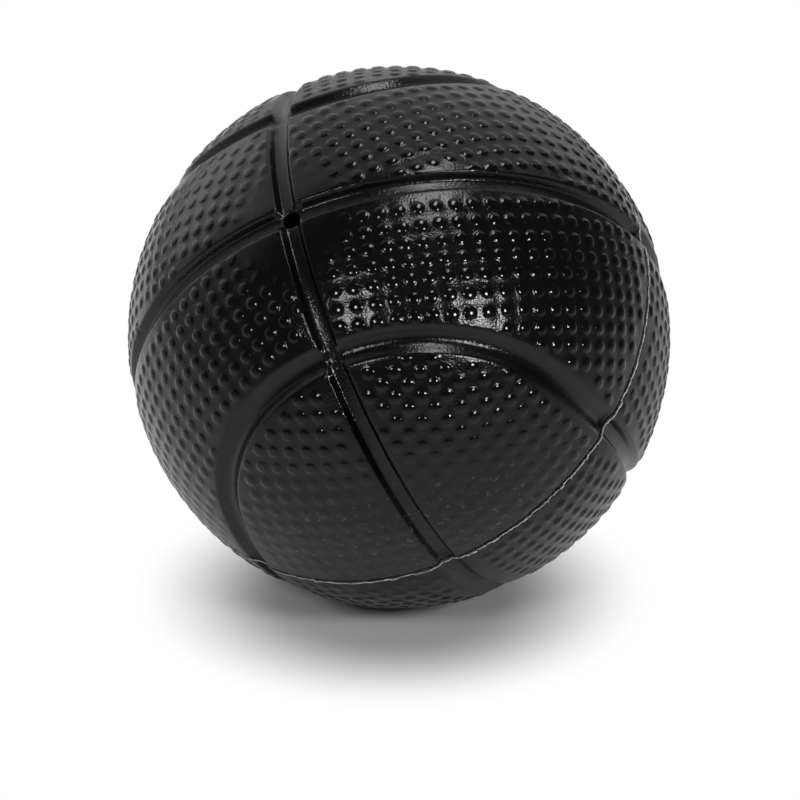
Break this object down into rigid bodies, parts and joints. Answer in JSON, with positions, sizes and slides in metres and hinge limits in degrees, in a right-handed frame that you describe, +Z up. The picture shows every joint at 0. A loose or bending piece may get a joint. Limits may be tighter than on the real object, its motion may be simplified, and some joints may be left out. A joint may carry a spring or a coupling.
{
  "type": "friction ball case opener",
  "caption": "Hollow soft rubber hand ball with a pimpled skin and sunken channels, cemented from half shells around an air valve, gripped to turn off screw-back watch case backs.",
  "frame": {"origin": "centre of the ball", "axes": "+Z up as the ball lies on the bench, -Y towards the viewer of the front, +X to that viewer's right"},
  "size_m": [0.063, 0.063, 0.063],
  "materials": {
    "shell_rubber": "glossy moulded black rubber",
    "cement": "satin cured rubber cement",
    "valve_rubber": "matt moulded rubber",
    "plug_rubber": "matt soft rubber"
  },
  "bodies": {
    "root": {"valve_half_shell": "shell_rubber", "plain_half_shell": "shell_rubber", "seam_cement": "cement", "valve_housing": "valve_rubber", "valve_plug": "plug_rubber"}
  },
  "joints": []
}
